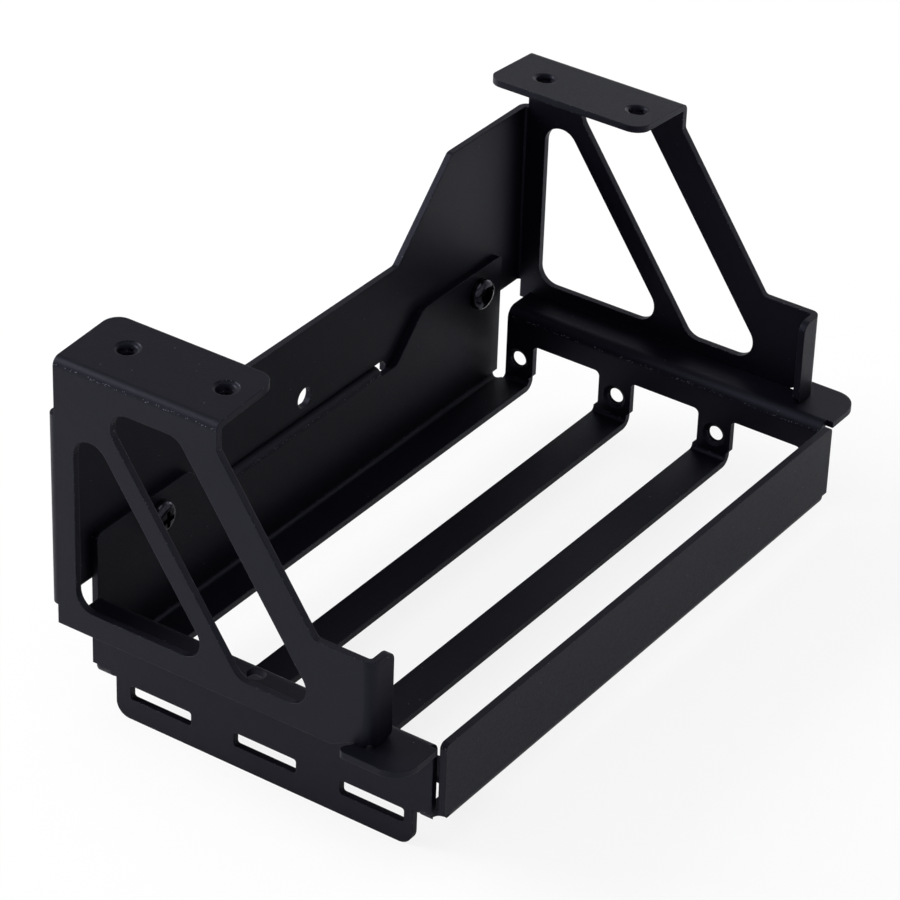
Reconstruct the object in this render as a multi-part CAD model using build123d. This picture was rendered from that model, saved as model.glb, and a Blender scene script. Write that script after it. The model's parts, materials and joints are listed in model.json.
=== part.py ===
from build123d import *
from itertools import pairwise
from math import cos, radians, sin, tan
import os

# Vertical graphics card mount, in millimetres: a slot frame and a hanger bracket, each folded from one sheet.
# X runs from the near end (-) to the far end (+), where the cards are screwed down.
# Y runs from the front wall (0) to the back, and Z from the top face of the floor (0) upwards.
# The finished pieces are moved together at the end, so that the origin lies under the middle of the mount.

# Sheet steel and its folds
sheet = 1.2
bend = 0.8
tight_bend = 0.3
corner_round = 1.0

# Expansion slots in the floor of the frame
slot_count = 3
slot_pitch = 20.32
bar_width = 6.75
first_slot_y = 12.93
bay_length = 112.0
floor_margin = 12.5
slot_corner = 2.5

# Walls of the frame
frame_depth = 68.3
wall_height = 13.9
front_overhang = 0.6
far_wall_rear_gap = 1.7
corner_relief = 2.2

# Strip and screw tabs of the far wall
strip_height = 5.9
tab_lead = 0.6
tab_setback = 0.8
tab_foot = 1.8
card_screw_bore = 3.2
card_screw_entry = 4.4
card_screw_dimple = 0.35
card_screw_z = 4.1
card_screw_offset = 9.43

# Tongue of the near wall, lanced down out of the floor
tongue_drop = 6.95
tongue_front = 5.3
tongue_rear = 62.4
tongue_corner = 2.5
notch_width = 1.1
window_width = 8.0
card_slot_length = 12.0
card_slot_width = 2.6
card_slot_depth = 0.5
card_slot_corner = 0.5

# Side flanges of the frame and their front ears
flange_reach = 7.0
flange_hole = 3.2
flange_hole_inset = 2.9
flange_hole_y = 33.6
ear_reach = 4.2
ear_front = 0.7
ear_corner = 4.2
ear_rear_inner = 10.4
ear_rear_outer = 13.3

# Rear wall of the frame
rear_wall_near_gap = 0.4
rear_wall_far_gap = 0.1
rear_flange_half = 20.2
rear_flange_reach = 4.2
rear_flange_top = 17.8
rear_ledge_height = 16.3
rear_ear_height = 23.9
rear_ear_half = 32.3
rear_ear_corner = 3.0

# Frame screws
screw_diameter = 3.0
screw_length = 4.0
screw_tip = 0.4
screw_head = 5.8
screw_head_height = 1.9
screw_head_slope = 1.0
screw_head_rim = 0.9
screw_hole_clearance = 0.4
thread_clearance = 0.1
screw_z = 19.4
far_screw_x = 49.2
near_screw_x = -40.1
recess_span = 3.2
recess_width = 0.8
recess_depth = 1.2
recess_taper = 10.0

# Hanger bracket, which stands on the ears and lies against the rear wall
side_gap = 0.3
seat_gap = 0.15
plate_bend = 0.5
bracket_top = 59.85
plate_foot = 12.1
foot_rise_start = 15.5
foot_rise_end = 11.6
front_flange_y = 8.2
front_flange_reach = 5.4
front_flange_top = 29.4
front_flange_round = 1.8
front_relief = 1.1
lug_rear = 18.85
mast_front = 37.0
top_flange_width = 14.7
top_flange_rise = 1.0
top_flange_round = 2.8

# Openings of the end plates
strut_angle = 54.9
strut_width = 3.5
cut_floor = 16.25
cut_front = 17.2
cut_width = 15.65
cut_top = 54.8
cut_round = 3.3
rear_post_y = 64.1

# Back plate of the bracket
back_bottom = 15.5
back_notch_half = 23.0
back_notch_top = 18.1
back_notch_round = 1.5
back_low_top = 34.4
back_low_half = 26.0
back_high_top = 49.6
back_hole = 3.8
back_hole_z = 21.4

# Burred screw holes of the top flanges
burr_bore = 2.9
burr_pitch = 18.5
burr_front = 4.65
burr_inset = 8.2
burr_round = 0.7
burr_wall = 0.6
burr_depth = 1.2

# Faces and places worked out from the sizes above
bay_half = bay_length / 2
rear_wall_y = frame_depth - sheet
slot_centres = [first_slot_y + n * slot_pitch for n in range(slot_count)]
slot_width = slot_pitch - bar_width
opening_near_x = -bay_half + floor_margin
wall_front = sheet + bend
wall_rear = rear_wall_y - far_wall_rear_gap
wall_flat_top = wall_height - sheet - bend
flange_edge = bay_half + flange_reach
rear_flange_end = rear_wall_y + rear_flange_reach
screw_places = {"frame_screw_near": near_screw_x, "frame_screw_far": far_screw_x}
plate_outer = flange_edge + side_gap + sheet
fold_outer = plate_bend + sheet
back_outer_y = frame_depth + sheet
plate_rear = back_outer_y - fold_outer
plate_front = front_flange_y + fold_outer
plate_flat_top = bracket_top - sheet - tight_bend
front_flange_edge = plate_outer - front_flange_reach
top_flange_edge = plate_outer - top_flange_width
burr_top = bracket_top + top_flange_rise * burr_inset / top_flange_width
seat_z = wall_height + seat_gap
strut_run = 1 / tan(radians(strut_angle))
beyond = 5.0


def area(u_low, u_high, v_low, v_high):
    """Plain rectangle between two values each way."""
    return Pos((u_low + u_high) / 2, (v_low + v_high) / 2) * Rectangle(u_high - u_low, v_high - v_low)


def outline(*corners):
    """Face with a rounded corner at each (u, v, radius)."""
    points = [(u, v) for u, v, radius in corners]
    radii = [radius for u, v, radius in corners]
    return make_face(FilletPolyline(*points, radius=radii, close=True))


def disc(u, v, diameter):
    """Round face at a place."""
    return Pos(u, v) * Circle(diameter / 2)


def along_x(shape, start, end):
    """Solid of a face drawn in Y and Z."""
    return extrude(Plane.YZ.offset(start) * shape, amount=end - start)


def along_y(shape, start, end):
    """Solid of a face drawn in X and Z."""
    return extrude(Plane.XZ.offset(-end) * shape, amount=end - start)


def along_z(shape, start, end):
    """Solid of a face drawn in X and Y."""
    return extrude(Plane.XY.offset(start) * shape, amount=end - start)


def both_ends(shape):
    """The shape and its mirror image at the other end of the mount."""
    return shape + mirror(shape, about=Plane.YZ)


def folded_section(path, radii):
    """Cross-section of a folded sheet that lies to the right of the path, with an inner radius for each fold."""
    points = [Vector(*point) for point in path]
    legs = [(end - start).normalized() for start, end in pairwise(points)]
    rights = [Vector(leg.Y, -leg.X) for leg in legs]
    other_side = [points[0] + rights[0] * sheet]
    path_radii = []
    other_radii = []
    for point, leg, right, next_right, radius in zip(points[1:], legs, rights, rights[1:], radii):
        other_side.append(point + (right + next_right) * (sheet / (1 + right.dot(next_right))))
        turns_right = leg.dot(next_right) < 0
        path_radii.append(radius + sheet if turns_right else radius)
        other_radii.append(radius if turns_right else radius + sheet)
    other_side.append(points[-1] + rights[-1] * sheet)
    edges = FilletPolyline(*points, radius=path_radii).edges()
    edges += FilletPolyline(*other_side, radius=other_radii).edges()
    edges += [Line(points[0], other_side[0]), Line(points[-1], other_side[-1])]
    return make_face(edges)


# Slot frame


def frame_tray():
    """Floor with the front wall and the foot of the rear wall folded up from it."""
    section = folded_section(
        [(sheet, wall_height), (sheet, 0), (rear_wall_y, 0), (rear_wall_y, rear_ledge_height)],
        [bend, bend],
    )
    half = bay_half + front_overhang
    front_plate = outline(
        (-half, bend, 0),
        (half, bend, 0),
        (half, wall_height, corner_round),
        (-half, wall_height, corner_round),
    )
    tray = along_x(section, -bay_half + bend, bay_half - bend) + along_y(front_plate, 0, sheet)
    return tray - along_z(floor_window(), -beyond, beyond)


def floor_window():
    """Window that the tongue leaves in the floor."""
    return area(-bay_half, -bay_half + window_width, tongue_front - notch_width, tongue_rear + notch_width)


def rear_wall():
    """Raised ears of the rear wall, with the short flange bent back between them."""
    near_x = -bay_half + rear_wall_near_gap
    far_x = bay_half - rear_wall_far_gap
    shoulder_half = rear_ear_half - (rear_ear_height - rear_ledge_height)
    wall = outline(
        (near_x, bend, 0),
        (far_x, bend, 0),
        (far_x, rear_ear_height, corner_round),
        (rear_ear_half, rear_ear_height, rear_ear_corner),
        (shoulder_half, rear_ledge_height, corner_round),
        (-shoulder_half, rear_ledge_height, corner_round),
        (-rear_ear_half, rear_ear_height, rear_ear_corner),
        (near_x, rear_ear_height, corner_round),
    )
    flange_section = folded_section(
        [(rear_wall_y, bend), (rear_wall_y, rear_flange_top), (rear_flange_end, rear_flange_top)],
        [tight_bend],
    )
    screw_hole = screw_diameter + screw_hole_clearance
    solid = along_y(wall, rear_wall_y, frame_depth)
    solid += along_x(flange_section, -rear_flange_half, rear_flange_half)
    for x in screw_places.values():
        solid -= along_y(disc(x, screw_z, screw_hole), rear_wall_y - beyond, frame_depth + beyond)
    return solid


def end_wall():
    """Near end wall with its flange folded outwards, the front ear and a short run of floor."""
    floor_end = -bay_half + bend + corner_relief / 2
    section = folded_section(
        [(-flange_edge, wall_height), (-bay_half, wall_height), (-bay_half, 0), (floor_end, 0)],
        [bend, bend],
    )
    flange_inner = -bay_half - sheet - bend
    ear_edge = -flange_edge - ear_reach
    ear = outline(
        (flange_inner, ear_front, 0),
        (ear_edge, ear_front, ear_corner),
        (ear_edge, ear_rear_outer, corner_round),
        (-flange_edge, ear_rear_inner, 0),
        (flange_inner, ear_rear_inner, 0),
    )
    return along_y(section, wall_front, wall_rear) + along_z(ear, wall_height - sheet, wall_height)


def near_wall_tail():
    """Rear end of the near wall, which runs on to the rear wall."""
    section = folded_section(
        [(-bay_half, wall_flat_top), (-bay_half, 0), (-bay_half + bend + corner_relief / 2, 0)],
        [bend],
    )
    plate = area(-bay_half - sheet, -bay_half, bend, wall_flat_top)
    return along_y(section, wall_rear, rear_wall_y - bend) + along_y(plate, rear_wall_y - bend, rear_wall_y)


def tongue():
    """Lower part of the near wall: it runs on below the floor and takes the ends of the card brackets."""
    plate = area(tongue_front - notch_width, tongue_rear + notch_width, 0, bend)
    plate += outline(
        (tongue_front, bend, 0),
        (tongue_rear, bend, 0),
        (tongue_rear, -tongue_drop, tongue_corner),
        (tongue_front, -tongue_drop, tongue_corner),
    )
    for y in slot_centres:
        slot = RectangleRounded(card_slot_length, card_slot_width, card_slot_corner)
        plate -= Pos(y, -card_slot_depth - card_slot_width / 2) * slot
    return along_x(plate, -bay_half - sheet, -bay_half)


def slot_opening(y):
    """Cutter of one slot opening, which runs through the floor and up the far wall to the strip."""
    front_y = y - slot_width / 2
    rear_y = y + slot_width / 2
    strip_z = wall_height - strip_height
    floor_cut = outline(
        (opening_near_x, front_y, slot_corner),
        (opening_near_x, rear_y, slot_corner),
        (bay_half + beyond, rear_y, 0),
        (bay_half + beyond, front_y, 0),
    )
    wall_cut = outline(
        (front_y, -beyond, 0),
        (front_y, tab_foot - tab_setback, 0),
        (front_y - tab_setback, tab_foot, 0),
        (front_y - tab_setback, strip_z, corner_round),
        (rear_y - tab_lead, strip_z, corner_round),
        (rear_y - tab_lead, tab_foot, 0),
        (rear_y, tab_foot - tab_lead, 0),
        (rear_y, -beyond, 0),
    )
    return along_z(floor_cut, -beyond, bend) + along_x(wall_cut, bay_half - bend, bay_half + beyond)


def card_screw_hole(y):
    """Cutter of one card screw hole in a tab of the far wall, dimpled on the inside."""
    base = (Align.CENTER, Align.CENTER, Align.MIN)
    bore = Cylinder(card_screw_bore / 2, beyond, align=base)
    dimple = Cone(card_screw_entry / 2, card_screw_bore / 2, card_screw_dimple, align=base)
    return Pos(bay_half, y + card_screw_offset, card_screw_z) * Rot(0, 90, 0) * (bore + dimple)


def corner_reliefs():
    """Cutters of the round reliefs where two folds meet at the corners of the floor."""
    reliefs = Part()
    for y in (sheet + bend / 2, rear_wall_y - bend / 2):
        reliefs += along_z(disc(-bay_half + bend / 2, y, corner_relief), -beyond, bend)
    return both_ends(reliefs)


def slot_frame():
    """Three-slot frame, folded from one sheet."""
    fold_strip = area(-bay_half - beyond, -bay_half + bend, tongue_front - notch_width, tongue_rear + notch_width)
    flange_hole_place = disc(-bay_half - flange_hole_inset, flange_hole_y, flange_hole)
    near_wall = end_wall() + near_wall_tail()
    near_wall -= along_z(fold_strip, -beyond, bend)
    near_wall += tongue()
    near_wall -= along_z(flange_hole_place, wall_flat_top, wall_height + beyond)
    frame = frame_tray() + rear_wall() + near_wall + mirror(end_wall(), about=Plane.YZ)
    for y in slot_centres:
        frame -= slot_opening(y)
        frame -= card_screw_hole(y)
    return frame - corner_reliefs()


# Hanger bracket


def plate_face():
    """Side view of an end plate, with its triangle and its slanted opening."""
    knee_z = front_flange_top + (mast_front - lug_rear) / strut_run
    lean = (cut_top - cut_floor) * strut_run
    cut_rear = cut_front + cut_width
    triangle_front = cut_rear + strut_width / sin(radians(strut_angle))
    triangle_top = cut_floor + (rear_post_y - triangle_front) / strut_run
    plate = outline(
        (plate_front, seat_z, 0),
        (foot_rise_end, seat_z, 0),
        (foot_rise_start, plate_foot, 0),
        (plate_rear, plate_foot, 0),
        (plate_rear, plate_flat_top, 0),
        (mast_front, plate_flat_top, 0),
        (mast_front, knee_z, corner_round),
        (lug_rear, front_flange_top, corner_round),
        (plate_front, front_flange_top, 0),
    )
    plate -= outline(
        (cut_front, cut_floor, cut_round),
        (cut_rear, cut_floor, cut_round),
        (cut_rear + lean, cut_top, cut_round),
        (cut_front + lean, cut_top, cut_round),
    )
    plate -= outline(
        (triangle_front, cut_floor, cut_round),
        (rear_post_y, cut_floor, cut_round),
        (rear_post_y, triangle_top, cut_round),
    )
    return plate


def back_face():
    """Back view of the back plate and its two folds, with the low middle and the notch for the rear flange."""
    past_fold = plate_outer + beyond
    high_half = back_low_half + back_high_top - back_low_top
    face = outline(
        (-past_fold, back_bottom, 0),
        (past_fold, back_bottom, 0),
        (past_fold, back_high_top, 0),
        (high_half, back_high_top, corner_round),
        (back_low_half, back_low_top, corner_round),
        (-back_low_half, back_low_top, corner_round),
        (-high_half, back_high_top, corner_round),
        (-past_fold, back_high_top, 0),
    )
    face -= outline(
        (-back_notch_half, back_bottom - beyond, 0),
        (back_notch_half, back_bottom - beyond, 0),
        (back_notch_half, back_notch_top, back_notch_round),
        (-back_notch_half, back_notch_top, back_notch_round),
    )
    face -= disc(0, back_hole_z, back_hole)
    for x in screw_places.values():
        face -= disc(x, screw_z, screw_diameter + thread_clearance)
    return face


def front_flange_face():
    """Front view of the near front flange and its fold."""
    return outline(
        (-plate_outer - beyond, seat_z, 0),
        (-front_flange_edge, seat_z, corner_round),
        (-front_flange_edge, front_flange_top, front_flange_round),
        (-plate_outer - beyond, front_flange_top, 0),
    )


def fold_relief():
    """Cutter of the small round relief under the near front fold."""
    middle = (plate_bend + sheet / 2) * cos(radians(45))
    place = Pos(-plate_outer + fold_outer - middle, plate_front - middle, seat_z)
    return place * Rot(0, 0, 45) * Rot(0, 90, 0) * Cylinder(front_relief / 2, beyond)


def burred_hole():
    """Cutter of a burred hole, whose entry is rounded in two slopes from the level of the flange's top face."""
    bore = burr_bore / 2
    middle = burr_round * (1 - sin(radians(45)))
    profile = outline(
        (0, -beyond, 0),
        (bore, -beyond, 0),
        (bore, -burr_round, 0),
        (bore + middle, -middle, 0),
        (bore + burr_round, 0, 0),
        (bore + burr_round, beyond, 0),
        (0, beyond, 0),
    )
    return revolve(Plane.XZ * profile, Axis.Z)


def top_flange():
    """Near top flange, which rises towards its free edge, with its two burred screw holes."""
    edge_top = bracket_top + top_flange_rise
    section = folded_section(
        [(-plate_outer, plate_flat_top - sheet), (-plate_outer, bracket_top), (-top_flange_edge, edge_top)],
        [tight_bend],
    )
    plan = outline(
        (-plate_outer - beyond, mast_front, 0),
        (-plate_outer - beyond, plate_rear, 0),
        (-top_flange_edge, plate_rear, top_flange_round),
        (-top_flange_edge, mast_front, top_flange_round),
    )
    flange = along_y(section, mast_front, plate_rear) & along_z(plan, 0, edge_top + beyond)
    x = -plate_outer + burr_inset
    for y in (mast_front + burr_front, mast_front + burr_front + burr_pitch):
        collar = disc(x, y, burr_bore + 2 * burr_wall)
        flange += along_z(collar, burr_top - sheet - burr_depth, burr_top - sheet / 2)
        flange -= Pos(x, y, burr_top) * burred_hole()
    return flange


def hanger_bracket():
    """U-shaped hanger, folded from one sheet: back plate, end plates, front flanges and top flanges."""
    plan = folded_section(
        [
            (-front_flange_edge, front_flange_y),
            (-plate_outer, front_flange_y),
            (-plate_outer, back_outer_y),
            (plate_outer, back_outer_y),
            (plate_outer, front_flange_y),
            (front_flange_edge, front_flange_y),
        ],
        [plate_bend] * 4,
    )
    walls = along_z(plan, plate_foot, plate_flat_top)
    end_plates = walls & along_x(plate_face(), -plate_outer, plate_outer)
    back_plate = walls & along_y(back_face(), plate_rear, back_outer_y)
    front_flanges = walls & both_ends(along_y(front_flange_face(), front_flange_y, plate_front))
    bracket = end_plates + back_plate + front_flanges + both_ends(top_flange())
    return bracket - both_ends(fold_relief())


# Frame screws


def frame_screw(x):
    """Pan head screw with a cross recess, through the rear wall into the back plate."""
    shank = screw_diameter / 2
    profile = outline(
        (0, -screw_head_height, 0),
        (screw_head / 2 - screw_head_slope, -screw_head_height, 0),
        (screw_head / 2, -screw_head_rim, 0),
        (screw_head / 2, 0, 0),
        (shank, 0, 0),
        (shank, screw_length - screw_tip, 0),
        (shank - screw_tip, screw_length, 0),
        (0, screw_length, 0),
    )
    screw = revolve(Plane.XZ * profile, Axis.Z)
    for slot in (Rectangle(recess_span, recess_width), Rectangle(recess_width, recess_span)):
        screw -= extrude(Plane.XY.offset(-screw_head_height) * slot, amount=recess_depth, taper=recess_taper)
    return Pos(x, rear_wall_y, screw_z) * Rot(-90, 0, 0) * screw


# All pieces, moved so that the origin lies under the middle of the mount

pieces = {"slot_frame": slot_frame(), "hanger_bracket": hanger_bracket()}
for name, x in screw_places.items():
    pieces[name] = frame_screw(x)

os.makedirs("parts", exist_ok=True)
for name, piece in pieces.items():
    export_step(Pos(0, -rear_flange_end / 2, tongue_drop) * piece, f"parts/{name}.step")
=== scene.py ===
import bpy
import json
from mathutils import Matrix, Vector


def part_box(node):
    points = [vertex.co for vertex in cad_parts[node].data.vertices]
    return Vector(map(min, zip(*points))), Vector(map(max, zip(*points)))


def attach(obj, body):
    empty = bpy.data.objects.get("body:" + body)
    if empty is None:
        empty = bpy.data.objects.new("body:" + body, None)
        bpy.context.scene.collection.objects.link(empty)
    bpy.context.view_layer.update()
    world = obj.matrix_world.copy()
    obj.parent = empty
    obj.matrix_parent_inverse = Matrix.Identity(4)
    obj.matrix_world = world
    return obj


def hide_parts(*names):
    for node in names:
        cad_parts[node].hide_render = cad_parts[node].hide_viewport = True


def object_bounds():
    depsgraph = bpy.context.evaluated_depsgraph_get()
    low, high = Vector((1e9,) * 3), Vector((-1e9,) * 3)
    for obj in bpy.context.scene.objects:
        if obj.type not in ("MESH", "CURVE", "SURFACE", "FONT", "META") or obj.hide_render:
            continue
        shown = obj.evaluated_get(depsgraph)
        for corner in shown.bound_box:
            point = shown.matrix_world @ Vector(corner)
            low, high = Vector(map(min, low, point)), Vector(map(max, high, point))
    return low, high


bl_info = {
    "name": "Vertical graphics card mount",
    "version": (1, 0, 0),
    "blender": (4, 5, 0),
    "location": "3D View > Sidebar > Card Mount",
    "description": "Coats the folded sheets, makes the screws and threads and sets up the studio",
    "category": "Object",
}

import json
from math import cos, pi, radians, sin

import bpy
from mathutils import Matrix, Vector

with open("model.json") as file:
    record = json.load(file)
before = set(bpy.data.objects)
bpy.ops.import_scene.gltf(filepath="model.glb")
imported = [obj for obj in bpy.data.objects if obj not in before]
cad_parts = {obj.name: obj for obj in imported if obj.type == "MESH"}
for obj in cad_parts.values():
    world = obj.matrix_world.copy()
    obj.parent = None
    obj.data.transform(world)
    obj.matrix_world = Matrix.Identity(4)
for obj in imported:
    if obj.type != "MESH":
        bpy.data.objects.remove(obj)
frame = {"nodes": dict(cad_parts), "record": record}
cad_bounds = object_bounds()

MM = 0.001

# Packed nodes that get the coat, those that the modelled screws replace, and the record's mounts
SHEETS = ("slot_frame", "hanger_bracket")
SCREWS = ("frame_screw_near", "frame_screw_far")
MOUNTS = {mount["name"]: mount for mount in frame["record"]["mounts"]}

# A frame screw. Its dome falls from the crown to the rim, and the shoulder adds to that fall
HEAD_HEIGHT = 1.9 * MM
HEAD_CHAMFER = 0.1 * MM
DOME_FALL = 0.9 * MM
SHOULDER_FALL = 0.25 * MM
DOME_STEPS = 12
SHANK_RADIUS = 1.5 * MM
TIP_LENGTH = 0.4 * MM
TIP_TAPER = 0.3 * MM
RECESS_TAPER = 0.62

# Threads: corners in one turn, half a ridge's width as a share of its depth, the length in a
# burred hole, and how far a thread stops short of the screw's tip and of each face of its wall
TURN_STEPS = 40
RIDGE_SHARE = 0.55
BURR_THREAD_LENGTH = 1.5 * MM
TIP_MARGIN = 0.35 * MM
WALL_MARGIN = 0.02 * MM

# Floor: corners of its rim, rings of its bend, and the bend's radius over the cove's height
FLOOR_STEPS = 96
BEND_STEPS = 8
BEND_SHARE = 0.6

# Softboxes: degrees round from the front, degrees up, distance and side in metres, and watts
SOFTBOXES = {
    "rear_softbox": (-162, 26, 1.2, 0.7, 18.0),
    "overhead_softbox": (-56, 80, 1.3, 1.0, 4.0),
    "far_softbox": (88, 9, 1.2, 0.8, 4.0),
}

# Shares of plain white that the studio paint shows to the camera and in reflections
CAMERA_WHITE = 0.85
MIRRORED_WHITE = 0.1


# Colours


def linear(hex_colour):
    """Linear red, green and blue of an sRGB hex colour."""
    channels = [int(hex_colour[start:start + 2], 16) / 255 for start in (1, 3, 5)]
    return [c / 12.92 if c <= 0.04045 else ((c + 0.055) / 1.055) ** 2.4 for c in channels]


def opaque(colour):
    """The colour with full opacity, for a shader's socket."""
    return (*colour, 1.0)


# Sizes and colours that a user would change


class CoatSettings(bpy.types.PropertyGroup):
    """Powder coat of the two folded sheets."""

    colour: bpy.props.FloatVectorProperty(
        name="Coat colour", description="Colour of the cured powder coat",
        subtype="COLOR", size=3, min=0.0, max=1.0, default=linear("#03030a"))
    thin_colour: bpy.props.FloatVectorProperty(
        name="Thin coat colour", description="Colour where the coat is thin over cut edges",
        subtype="COLOR", size=3, min=0.0, max=1.0, default=linear("#0c0c12"))
    # Painted glints: bright flecks that stand in for the lamps' reflection in the coat's bumps
    glint_colour: bpy.props.FloatVectorProperty(
        name="Fleck colour", description="Colour of the small bright flecks along folds and edges",
        subtype="COLOR", size=3, min=0.0, max=1.0, default=linear("#72737b"))
    grain: bpy.props.FloatProperty(
        name="Grain", description="Width of one bump of the fine texture",
        unit="LENGTH", precision=5, min=0.0, default=0.32 * MM)
    grain_height: bpy.props.FloatProperty(
        name="Grain height", description="Height of the fine texture",
        unit="LENGTH", precision=6, min=0.0, default=0.018 * MM)
    edge_round: bpy.props.FloatProperty(
        name="Edge rounding", description="Radius that the coat gives a cut edge",
        unit="LENGTH", precision=5, min=0.0, default=0.22 * MM)
    # Spacing of the painted glints along folds and cut edges
    glint_spacing: bpy.props.FloatProperty(
        name="Fleck spacing", description="Distance between neighbouring flecks",
        unit="LENGTH", precision=5, min=0.0, default=0.33 * MM)


class ScrewSettings(bpy.types.PropertyGroup):
    """The two frame screws and the threads cut in the flanges."""

    colour: bpy.props.FloatVectorProperty(
        name="Plating colour", description="Colour of the black zinc plating",
        subtype="COLOR", size=3, min=0.0, max=1.0, default=linear("#2a2a31"))
    pitch: bpy.props.FloatProperty(
        name="Thread pitch", description="Distance between two turns of a thread",
        unit="LENGTH", precision=5, min=0.0, default=0.5 * MM)
    thread_depth: bpy.props.FloatProperty(
        name="Thread depth", description="Height of a thread's crest over its root",
        unit="LENGTH", precision=5, min=0.0, default=0.24 * MM)
    recess_span: bpy.props.FloatProperty(
        name="Recess span", description="Length of each slot of the cross recess",
        unit="LENGTH", precision=5, min=0.0, default=3.6 * MM)
    recess_width: bpy.props.FloatProperty(
        name="Recess width", description="Width of each slot of the cross recess",
        unit="LENGTH", precision=5, min=0.0, default=0.95 * MM)
    recess_depth: bpy.props.FloatProperty(
        name="Recess depth", description="Depth of the cross recess",
        unit="LENGTH", precision=5, min=0.0, default=1.4 * MM)


class StudioSettings(bpy.types.PropertyGroup):
    """White studio round the mount, and the photograph's camera."""

    floor_colour: bpy.props.FloatVectorProperty(
        name="Floor colour", description="Colour of the floor and of the cove behind it",
        subtype="COLOR", size=3, min=0.0, max=1.0, default=linear("#f4f4f4"))
    floor_radius: bpy.props.FloatProperty(
        name="Floor radius", description="Radius of the round studio floor",
        unit="LENGTH", min=0.5, default=2.4)
    cove_height: bpy.props.FloatProperty(
        name="Cove height", description="Height of the curved wall round the floor",
        unit="LENGTH", min=0.1, default=1.1)
    azimuth: bpy.props.FloatProperty(
        name="Camera azimuth", description="Angle of the camera round the mount, from the front",
        subtype="ANGLE", default=radians(-56.29))
    elevation: bpy.props.FloatProperty(
        name="Camera elevation", description="Angle of the camera over the floor",
        subtype="ANGLE", default=radians(32.20))
    roll: bpy.props.FloatProperty(
        name="Camera roll", description="Turn of the camera about its own axis",
        subtype="ANGLE", default=radians(2.12))
    distance: bpy.props.FloatProperty(
        name="Camera distance", description="Distance from the camera to the point it looks at",
        unit="LENGTH", min=0.1, default=0.6392)
    lens: bpy.props.FloatProperty(
        name="Lens", description="Focal length for a sensor 36 mm wide, in millimetres",
        min=10.0, max=400.0, default=163.87)
    target: bpy.props.FloatVectorProperty(
        name="Camera target", description="Point that the camera looks at",
        subtype="TRANSLATION", size=3, default=(-0.0154, -0.00676, 0.0411))


# Modelling by hand


def select_only(*objects):
    """Selects just these objects, and makes the first one active."""
    bpy.ops.object.select_all(action="DESELECT")
    for item in objects:
        item.select_set(True)
    bpy.context.view_layer.objects.active = objects[0]


def added(name):
    """The primitive that was just added, with its own name."""
    piece = bpy.context.object
    piece.name = name
    piece.data.name = name
    return piece


def settle(piece):
    """Puts the piece's place, turn and scale into its mesh."""
    select_only(piece)
    bpy.ops.object.transform_apply(location=True, rotation=True, scale=True)


def apply_modifier(piece, kind, **settings):
    """Adds one modifier with its settings and applies it."""
    select_only(piece)
    modifier = piece.modifiers.new(kind.title(), kind)
    for setting, value in settings.items():
        setattr(modifier, setting, value)
    bpy.ops.object.modifier_apply(modifier=modifier.name)


def place_along(piece, foot, direction):
    """Turns the piece's Z axis to a direction, puts its origin at a point and settles it."""
    turn = Vector(direction).to_track_quat("Z", "Y").to_matrix().to_4x4()
    piece.matrix_world = Matrix.Translation(foot) @ turn
    settle(piece)


def copied(piece, name):
    """A copy of the piece with its own mesh."""
    select_only(piece)
    bpy.ops.object.duplicate(linked=False)
    return added(name)


def finished(piece, material):
    """Gives the piece its material, and makes it ride on the mount."""
    piece.data.materials.clear()
    piece.data.materials.append(material)
    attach(piece, "root")


def drawn_up(name, vertices, profile):
    """A round shape drawn up from a disc, ring by ring, along its (radius, height) profile."""
    radius, height = profile[0]
    bpy.ops.object.select_all(action="DESELECT")
    bpy.ops.mesh.primitive_circle_add(
        vertices=vertices, radius=radius, fill_type="NGON", location=(0, 0, height))
    piece = added(name)
    settle(piece)
    bpy.ops.object.mode_set(mode="EDIT")
    bpy.ops.mesh.select_all(action="SELECT")
    bpy.ops.mesh.select_mode(type="EDGE")
    bpy.ops.mesh.region_to_loop()
    for next_radius, next_height in profile[1:]:
        rise = next_height - height
        grow = next_radius / radius
        bpy.ops.mesh.extrude_edges_move(TRANSFORM_OT_translate={"value": (0, 0, rise)})
        bpy.ops.transform.resize(value=(grow, grow, 1.0), center_override=(0, 0, next_height))
        radius = next_radius
        height = next_height
    return piece


def closed(piece):
    """Fills the open ring that is still selected and turns all faces outwards."""
    bpy.ops.mesh.edge_face_add()
    bpy.ops.mesh.select_all(action="SELECT")
    bpy.ops.mesh.normals_make_consistent(inside=False)
    bpy.ops.object.mode_set(mode="OBJECT")
    return piece


def thread_ridge(name, root, depth, pitch, length):
    """A thread's ridge, wound along Z from 0 to its length. One half of it is sunk in the metal,
    and the other stands out from the root radius by the depth."""
    half = depth * RIDGE_SHARE
    bpy.ops.object.select_all(action="DESELECT")
    bpy.ops.mesh.primitive_circle_add(
        vertices=4, radius=1.0, fill_type="NOTHING",
        location=(root, 0, half), rotation=(pi / 2, 0, 0))
    ridge = added(name)
    ridge.scale = (depth, half, 1.0)
    settle(ridge)
    turns = (length - 2 * half) / pitch
    steps = int(TURN_STEPS * turns)
    apply_modifier(
        ridge, "SCREW", axis="Z", angle=2 * pi * turns, screw_offset=pitch * turns,
        steps=steps, render_steps=steps, use_smooth_shade=True)
    select_only(ridge)
    bpy.ops.object.mode_set(mode="EDIT")
    bpy.ops.mesh.select_all(action="SELECT")
    bpy.ops.mesh.fill_holes(sides=4)
    bpy.ops.mesh.normals_make_consistent(inside=False)
    bpy.ops.object.mode_set(mode="OBJECT")
    return ridge


# Materials


def socket(sockets, name):
    """The live socket with a name, or the one at an index."""
    if isinstance(name, int):
        return sockets[name]
    return next(s for s in sockets if s.name == name and s.enabled)


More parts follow.
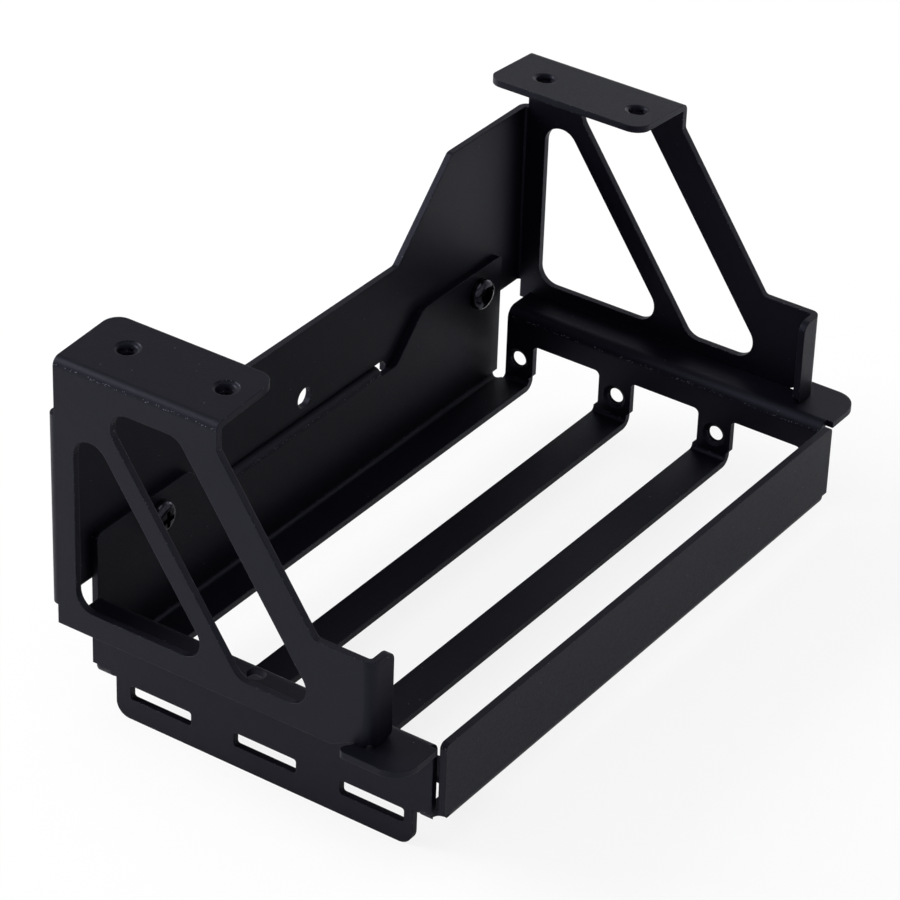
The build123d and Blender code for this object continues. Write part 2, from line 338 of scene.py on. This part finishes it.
def add_node(tree, kind, settings=None, values=None, links=None):
    """Adds a node, sets its options and input values, and joins other sockets to its inputs."""
    node = tree.nodes.new(kind)
    for name, value in (settings or {}).items():
        setattr(node, name, value)
    for name, value in (values or {}).items():
        socket(node.inputs, name).default_value = value
    for name, source in (links or {}).items():
        tree.links.new(source, socket(node.inputs, name))
    return node


def new_material(name):
    """An empty node material, with its tree."""
    material = bpy.data.materials.new(name)
    material.use_nodes = True
    material.node_tree.nodes.clear()
    return material, material.node_tree


def shown(tree, shader):
    """Ends the tree in a material output."""
    add_node(tree, "ShaderNodeOutputMaterial", links={"Surface": shader.outputs[0]})


def powder_coated_steel(coat):
    """Satin black polyester powder coat on steel sheet: an even fine grain, with painted glints
    along folds and cut edges, small bright flecks that stand in for the lamps' reflection in the
    coat's bumps."""
    material, tree = new_material("black_powder_coated_steel")
    place = add_node(tree, "ShaderNodeTexCoord").outputs["Object"]

    # Bumps of cured powder, one every third of a millimetre, over a slow orange peel
    grain = add_node(
        tree, "ShaderNodeTexNoise",
        values={"Scale": 1 / coat.grain, "Detail": 3.0, "Roughness": 0.6},
        links={"Vector": place}).outputs[0]
    peel = add_node(
        tree, "ShaderNodeTexNoise",
        values={"Scale": 1 / (2.4 * MM), "Detail": 1.0}, links={"Vector": place}).outputs[0]
    cloud = add_node(
        tree, "ShaderNodeTexNoise",
        values={"Scale": 1 / (14 * MM), "Detail": 2.0}, links={"Vector": place}).outputs[0]

    # A cut edge is where the rounded normal leaves the true one
    rounded = add_node(
        tree, "ShaderNodeBevel", settings={"samples": 6},
        values={"Radius": coat.edge_round}).outputs[0]
    true_normal = add_node(tree, "ShaderNodeNewGeometry").outputs["True Normal"]
    agreement = add_node(
        tree, "ShaderNodeVectorMath", settings={"operation": "DOT_PRODUCT"},
        links={0: rounded, 1: true_normal}).outputs["Value"]
    edge = add_node(
        tree, "ShaderNodeMapRange", values={"From Min": 0.995, "From Max": 0.86},
        links={"Value": agreement}).outputs[0]

    # A fold starts where the face has turned 4 to 21 degrees from an upright wall, towards level;
    # painted glints line it
    sides = add_node(
        tree, "ShaderNodeVectorMath", settings={"operation": "ABSOLUTE"},
        links={0: true_normal}).outputs[0]
    parts = add_node(tree, "ShaderNodeSeparateXYZ", links={0: sides}).outputs
    upright = add_node(
        tree, "ShaderNodeMath", settings={"operation": "MAXIMUM"},
        links={0: parts[0], 1: parts[1]}).outputs[0]
    fold = add_node(
        tree, "ShaderNodeMath", settings={"operation": "COMPARE"}, values={1: 0.965, 2: 0.032},
        links={0: upright}).outputs[0]
    level_fold = add_node(
        tree, "ShaderNodeMath", settings={"operation": "GREATER_THAN"}, values={1: 0.08},
        links={0: parts[2]}).outputs[0]
    fold_start = add_node(
        tree, "ShaderNodeMath", settings={"operation": "MULTIPLY"},
        links={0: fold, 1: level_fold}).outputs[0]
    # Where the glints are painted: cut edges and the start of each fold
    glint_zone = add_node(
        tree, "ShaderNodeMath", settings={"operation": "MAXIMUM"},
        links={0: edge, 1: fold_start}).outputs[0]

    # Painted glints are small round bright spots, one in every second cell on edges and fold starts
    # and few on flat faces
    spots = add_node(
        tree, "ShaderNodeTexVoronoi",
        values={"Scale": 1 / coat.glint_spacing, "Randomness": 1.0}, links={"Vector": place})
    lottery = add_node(
        tree, "ShaderNodeSeparateColor", links={0: spots.outputs["Color"]}).outputs[0]
    chance = add_node(
        tree, "ShaderNodeMapRange", values={"To Min": 0.9985, "To Max": 0.5},
        links={"Value": glint_zone}).outputs[0]
    drawn = add_node(
        tree, "ShaderNodeMath", settings={"operation": "GREATER_THAN"},
        links={0: lottery, 1: chance}).outputs[0]
    spot = add_node(
        tree, "ShaderNodeMapRange", values={"From Min": 0.30, "From Max": 0.12},
        links={"Value": spots.outputs["Distance"]}).outputs[0]
    painted_glint = add_node(
        tree, "ShaderNodeMath", settings={"operation": "MULTIPLY"},
        links={0: spot, 1: drawn}).outputs[0]

    # The colour is a little lighter in slow clouds, and where the coat is thin over a cut edge
    clouded = add_node(
        tree, "ShaderNodeMapRange",
        values={"From Min": 0.3, "From Max": 0.7, "To Min": 0.0, "To Max": 0.25},
        links={"Value": cloud}).outputs[0]
    thin = add_node(
        tree, "ShaderNodeMath", settings={"operation": "MULTIPLY", "use_clamp": True},
        values={1: 0.5}, links={0: edge}).outputs[0]
    thinning = add_node(
        tree, "ShaderNodeMath", settings={"operation": "MAXIMUM"},
        links={0: clouded, 1: thin}).outputs[0]
    coat_colour = add_node(
        tree, "ShaderNodeMix", settings={"data_type": "RGBA"},
        values={"A": opaque(coat.colour), "B": opaque(coat.thin_colour)},
        links={"Factor": thinning})
    # The painted glints are laid into the coat's colour
    glinted_colour = add_node(
        tree, "ShaderNodeMix", settings={"data_type": "RGBA"},
        values={"B": opaque(coat.glint_colour)},
        links={"Factor": painted_glint, "A": socket(coat_colour.outputs, "Result")})

    # The gloss is satin. The peel lies on the rounded edges, and the grain on the peel
    roughness = add_node(
        tree, "ShaderNodeMapRange",
        values={"From Min": 0.3, "From Max": 0.7, "To Min": 0.4, "To Max": 0.5},
        links={"Value": grain}).outputs[0]
    peeled = add_node(
        tree, "ShaderNodeBump", values={"Strength": 0.4, "Distance": 0.03 * MM},
        links={"Height": peel, "Normal": rounded}).outputs[0]
    grained = add_node(
        tree, "ShaderNodeBump", values={"Strength": 1.0, "Distance": coat.grain_height},
        links={"Height": grain, "Normal": peeled}).outputs[0]
    shader = add_node(
        tree, "ShaderNodeBsdfPrincipled",
        values={
            "IOR": 1.5, "Specular IOR Level": 0.2,
            "Specular Tint": opaque(linear("#dcdcff")),
        },
        links={
            "Base Color": socket(glinted_colour.outputs, "Result"),
            "Roughness": roughness, "Normal": grained,
        })
    shown(tree, shader)
    return material


def black_zinc_steel(screw):
    """Black zinc plating on a cold-headed steel screw: smooth and glossy, with faint tool marks."""
    material, tree = new_material("black_zinc_plated_steel")
    place = add_node(tree, "ShaderNodeTexCoord").outputs["Object"]
    marks = add_node(
        tree, "ShaderNodeTexNoise",
        values={"Scale": 1 / (0.5 * MM), "Detail": 4.0, "Roughness": 0.65},
        links={"Vector": place}).outputs[0]
    roughness = add_node(
        tree, "ShaderNodeMapRange",
        values={"From Min": 0.3, "From Max": 0.7, "To Min": 0.12, "To Max": 0.24},
        links={"Value": marks}).outputs[0]
    shade = add_node(
        tree, "ShaderNodeMapRange",
        values={"From Min": 0.35, "From Max": 0.7, "To Min": 0.0, "To Max": 0.4},
        links={"Value": marks}).outputs[0]
    colour = add_node(
        tree, "ShaderNodeMix", settings={"data_type": "RGBA"},
        values={"A": opaque(screw.colour), "B": opaque(linear("#505058"))},
        links={"Factor": shade})
    bump = add_node(
        tree, "ShaderNodeBump", values={"Strength": 0.5, "Distance": 0.012 * MM},
        links={"Height": marks}).outputs[0]
    shader = add_node(
        tree, "ShaderNodeBsdfPrincipled", values={"Metallic": 1.0},
        links={
            "Base Color": socket(colour.outputs, "Result"),
            "Roughness": roughness, "Normal": bump,
        })
    shown(tree, shader)
    return material


def painted_studio_floor(studio):
    """Matt white studio paint, rolled on. The camera and reflections see it closer to plain white,
    and it keeps the mount's shadow."""
    material, tree = new_material("matt_white_studio_paint")
    place = add_node(tree, "ShaderNodeTexCoord").outputs["Object"]
    roller = add_node(
        tree, "ShaderNodeTexNoise", values={"Scale": 1 / (6 * MM), "Detail": 2.0},
        links={"Vector": place}).outputs[0]
    tone = add_node(
        tree, "ShaderNodeMix", settings={"data_type": "RGBA"},
        values={"A": opaque(studio.floor_colour), "B": opaque(linear("#fafafa"))},
        links={"Factor": roller})
    paint = add_node(
        tree, "ShaderNodeBsdfPrincipled", values={"Roughness": 0.9, "Specular IOR Level": 0.0},
        links={"Base Color": socket(tone.outputs, "Result")})
    glow = add_node(tree, "ShaderNodeEmission", values={"Strength": 1.0})
    path = add_node(tree, "ShaderNodeLightPath").outputs
    mirrored = add_node(
        tree, "ShaderNodeMath", settings={"operation": "MAXIMUM"},
        links={0: path["Is Glossy Ray"], 1: path["Is Transmission Ray"]}).outputs[0]
    mirrored_share = add_node(
        tree, "ShaderNodeMath", settings={"operation": "MULTIPLY"}, values={1: MIRRORED_WHITE},
        links={0: mirrored}).outputs[0]
    camera_share = add_node(
        tree, "ShaderNodeMath", settings={"operation": "MULTIPLY"}, values={1: CAMERA_WHITE},
        links={0: path["Is Camera Ray"]}).outputs[0]
    share = add_node(
        tree, "ShaderNodeMath", settings={"operation": "MAXIMUM"},
        links={0: mirrored_share, 1: camera_share}).outputs[0]
    shader = add_node(
        tree, "ShaderNodeMixShader", links={0: share, 1: paint.outputs[0], 2: glow.outputs[0]})
    shown(tree, shader)
    return material


# Operators, one for each group of pieces and one for the stage


class MOUNT_OT_coat_sheets(bpy.types.Operator):
    """Coat the slot frame and the hanger bracket with black powder"""

    bl_idname = "mount.coat_sheets"
    bl_label = "Coat the Sheets"

    def execute(self, context):
        coat = powder_coated_steel(context.scene.mount_coat)
        for name in SHEETS:
            sheet = frame["nodes"][name]
            sheet.data.materials.clear()
            sheet.data.materials.append(coat)
        return {"FINISHED"}


class MOUNT_OT_frame_screws(bpy.types.Operator):
    """Make the two pan head screws with their cross recesses and threads"""

    bl_idname = "mount.frame_screws"
    bl_label = "Make the Frame Screws"

    def execute(self, context):
        screw = context.scene.mount_screw
        plating = black_zinc_steel(screw)
        low, high = (Vector(corner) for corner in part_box(SCREWS[0]))
        head_radius = (high.x - low.x) / 2
        length = high.y - low.y
        model = self.pan_head(screw, head_radius, length)
        for name in SCREWS:
            low, high = (Vector(corner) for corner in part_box(name))
            middle = (low + high) / 2
            piece = copied(model, f"{name}_turned")
            place_along(piece, Vector((middle.x, low.y, middle.z)), (0, 1, 0))
            finished(piece, plating)
            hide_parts(name)
        bpy.data.objects.remove(model)
        return {"FINISHED"}

    def pan_head(self, screw, head_radius, length):
        """One screw standing on its head: the crown at Z = 0 and the tip at its length."""
        root = SHANK_RADIUS - screw.thread_depth
        profile = []
        for n in range(1, DOME_STEPS + 1):
            angle = pi / 2 * n / DOME_STEPS
            fall = DOME_FALL * (1 - cos(angle)) ** 1.3 + SHOULDER_FALL * sin(angle) ** 3
            profile.append((head_radius * sin(angle) ** 0.85, fall))
        profile += [
            (head_radius, HEAD_HEIGHT - HEAD_CHAMFER),
            (head_radius - HEAD_CHAMFER, HEAD_HEIGHT),
            (root, HEAD_HEIGHT),
            (root, length - TIP_LENGTH),
            (root - TIP_TAPER, length),
        ]
        body = closed(drawn_up("screw_model", TURN_STEPS * 2, profile))
        recess = self.cross_recess(screw)
        apply_modifier(body, "BOOLEAN", operation="DIFFERENCE", object=recess, solver="EXACT")
        bpy.data.objects.remove(recess)
        thread = thread_ridge(
            "screw_thread", root, screw.thread_depth, screw.pitch,
            length - HEAD_HEIGHT - TIP_MARGIN)
        thread.location.z = HEAD_HEIGHT
        settle(thread)
        select_only(body, thread)
        bpy.ops.object.join()
        bpy.ops.object.shade_smooth_by_angle(angle=radians(35))
        return body

    def cross_recess(self, screw):
        """Cutter of the cross recess, two tapered slots at right angles."""
        slots = []
        height = screw.recess_depth * 1.6
        for name, size in (
            ("recess_slot_along", (screw.recess_span, screw.recess_width)),
            ("recess_slot_across", (screw.recess_width, screw.recess_span)),
        ):
            bpy.ops.object.select_all(action="DESELECT")
            bpy.ops.mesh.primitive_cube_add(
                size=1.0, location=(0, 0, screw.recess_depth - height / 2))
            slot = added(name)
            slot.scale = (*size, height)
            settle(slot)
            bpy.ops.object.mode_set(mode="EDIT")
            bpy.ops.mesh.select_all(action="DESELECT")
            bpy.ops.object.mode_set(mode="OBJECT")
            for face in slot.data.polygons:
                face.select = face.normal.z > 0.9
            bpy.ops.object.mode_set(mode="EDIT")
            bpy.ops.transform.resize(
                value=(RECESS_TAPER, RECESS_TAPER, 1.0), center_override=(0, 0, screw.recess_depth))
            bpy.ops.object.mode_set(mode="OBJECT")
            slots.append(slot)
        apply_modifier(slots[0], "BOOLEAN", operation="UNION", object=slots[1], solver="EXACT")
        bpy.data.objects.remove(slots[1])
        return slots[0]


class MOUNT_OT_flange_threads(bpy.types.Operator):
    """Cut the threads in the burred holes of the top flanges and in the card screw holes"""

    bl_idname = "mount.flange_threads"
    bl_label = "Cut the Threads"

    def execute(self, context):
        screw = context.scene.mount_screw
        coat = bpy.data.materials["black_powder_coated_steel"]
        pattern = MOUNTS["top_flange_screws"]
        bore = pattern["dims"]["hole_r_mm"] * MM
        half_x = pattern["dims"]["spacing_x_mm"] * MM / 2
        half_y = pattern["dims"]["spacing_y_mm"] * MM / 2
        centre = Vector(pattern["pos_m"])
        foot = -BURR_THREAD_LENGTH / 2
        model = thread_ridge(
            "thread_model", bore, screw.thread_depth, screw.pitch, BURR_THREAD_LENGTH)
        for end, x in (("near", -half_x), ("far", half_x)):
            for side, y in (("front", -half_y), ("rear", half_y)):
                thread = copied(model, f"{end}_flange_thread_{side}")
                place_along(thread, centre + Vector((x, y, foot)), (0, 0, 1))
                finished(thread, coat)
        for number in range(1, 4):
            hole = MOUNTS[f"card_screw_{number}"]
            bore = hole["dims"]["r_mm"] * MM
            wall = hole["dims"]["length_mm"] * MM
            thread = thread_ridge(
                f"card_screw_thread_{number}", bore, screw.thread_depth, screw.pitch,
                wall - 2 * WALL_MARGIN)
            foot = Vector(hole["pos_m"]) - Vector((wall / 2 - WALL_MARGIN, 0, 0))
            place_along(thread, foot, (1, 0, 0))
            finished(thread, coat)
        bpy.data.objects.remove(model)
        return {"FINISHED"}


def direction_to(azimuth, elevation):
    """Direction from the mount, turned round from the front and up from the floor."""
    return Vector((
        sin(azimuth) * cos(elevation),
        -cos(azimuth) * cos(elevation),
        sin(elevation),
    ))


class MOUNT_OT_studio(bpy.types.Operator):
    """Set up the white studio, its lamps and the camera"""

    bl_idname = "mount.studio"
    bl_label = "Set Up the Studio"

    def execute(self, context):
        studio = context.scene.mount_studio
        self.floor(studio)
        self.surroundings(context.scene)
        centre = (Vector(cad_bounds[0]) + Vector(cad_bounds[1])) / 2
        for name, (round_by, up_by, distance, side, power) in SOFTBOXES.items():
            self.lamp(name, centre, radians(round_by), radians(up_by), distance, side, power)
        self.camera(context.scene, studio)
        context.scene.view_settings.view_transform = "Standard"
        return {"FINISHED"}

    def floor(self, studio):
        """Round floor that curves up into a low wall, centred under the mount."""
        bend = studio.cove_height * BEND_SHARE
        profile = [(studio.floor_radius, 0.0)]
        for n in range(1, BEND_STEPS + 1):
            angle = pi / 2 * n / BEND_STEPS
            profile.append((studio.floor_radius + bend * sin(angle), bend * (1 - cos(angle))))
        profile.append((studio.floor_radius + bend, studio.cove_height))
        floor = drawn_up("studio_floor", FLOOR_STEPS, profile)
        bpy.ops.object.mode_set(mode="OBJECT")
        bpy.ops.object.shade_smooth()
        floor.data.materials.append(painted_studio_floor(studio))

    def surroundings(self, scene):
        """Pale light from all round, strong near the floor and weak overhead."""
        world = bpy.data.worlds.new("studio_surroundings")
        scene.world = world
        world.use_nodes = True
        tree = world.node_tree
        tree.nodes.clear()
        direction = add_node(tree, "ShaderNodeTexCoord").outputs["Generated"]
        height = add_node(tree, "ShaderNodeSeparateXYZ", links={0: direction}).outputs[2]
        level = add_node(
            tree, "ShaderNodeMapRange",
            values={"From Min": 0.05, "From Max": 0.85, "To Min": 1.25, "To Max": 0.2},
            links={"Value": height}).outputs[0]
        ambient = add_node(
            tree, "ShaderNodeBackground", values={"Color": opaque(linear("#f2f4f8"))},
            links={"Strength": level})
        add_node(tree, "ShaderNodeOutputWorld", links={"Surface": ambient.outputs[0]})

    def lamp(self, name, centre, azimuth, elevation, distance, side, power):
        """A square softbox that looks at the mount."""
        direction = direction_to(azimuth, elevation)
        light = bpy.data.lights.new(name, "AREA")
        light.shape = "SQUARE"
        light.size = side
        light.energy = power
        lamp = bpy.data.objects.new(name, light)
        bpy.context.scene.collection.objects.link(lamp)
        lamp.location = centre + direction * distance
        lamp.rotation_euler = direction.to_track_quat("Z", "Y").to_euler()

    def camera(self, scene, studio):
        """The photograph's view of the mount."""
        data = bpy.data.cameras.new("photo_camera")
        data.sensor_width = 36.0
        data.lens = studio.lens
        data.clip_start = 0.01
        camera = bpy.data.objects.new("photo_camera", data)
        scene.collection.objects.link(camera)
        back = direction_to(studio.azimuth, studio.elevation)
        level = Vector((cos(studio.azimuth), sin(studio.azimuth), 0.0))
        upright = back.cross(level)
        right = level * cos(studio.roll) + upright * sin(studio.roll)
        up = upright * cos(studio.roll) - level * sin(studio.roll)
        turn = Matrix((right, up, back)).transposed().to_4x4()
        place = Vector(studio.target) + back * studio.distance
        camera.matrix_world = Matrix.Translation(place) @ turn
        scene.camera = camera


class MOUNT_PT_sidebar(bpy.types.Panel):
    """Settings and steps of the card mount"""

    bl_label = "Card Mount"
    bl_idname = "MOUNT_PT_sidebar"
    bl_space_type = "VIEW_3D"
    bl_region_type = "UI"
    bl_category = "Card Mount"

    def draw(self, context):
        for title, name, operators in STEPS:
            box = self.layout.box()
            box.label(text=title)
            settings = getattr(context.scene, name)
            for setting in settings.__annotations__:
                box.prop(settings, setting)
            for operator in operators:
                box.operator(operator)


SETTINGS = {
    "mount_coat": CoatSettings,
    "mount_screw": ScrewSettings,
    "mount_studio": StudioSettings,
}
STEPS = (
    ("Folded sheets", "mount_coat", ("mount.coat_sheets",)),
    ("Screws and threads", "mount_screw", ("mount.frame_screws", "mount.flange_threads")),
    ("Studio", "mount_studio", ("mount.studio",)),
)
CLASSES = (
    *SETTINGS.values(),
    MOUNT_OT_coat_sheets,
    MOUNT_OT_frame_screws,
    MOUNT_OT_flange_threads,
    MOUNT_OT_studio,
    MOUNT_PT_sidebar,
)


def register():
    """Registers the classes and gives the scene its settings."""
    for item in CLASSES:
        bpy.utils.register_class(item)
    for name, group in SETTINGS.items():
        setattr(bpy.types.Scene, name, bpy.props.PointerProperty(type=group))


def unregister():
    """Takes the settings and the classes away again."""
    for name in SETTINGS:
        delattr(bpy.types.Scene, name)
    for item in reversed(CLASSES):
        bpy.utils.unregister_class(item)


def main():
    """Makes the whole mount and its studio."""
    register()
    bpy.ops.mount.coat_sheets()
    bpy.ops.mount.frame_screws()
    bpy.ops.mount.flange_threads()
    bpy.ops.mount.studio()


if __name__ == "__main__":
    main()
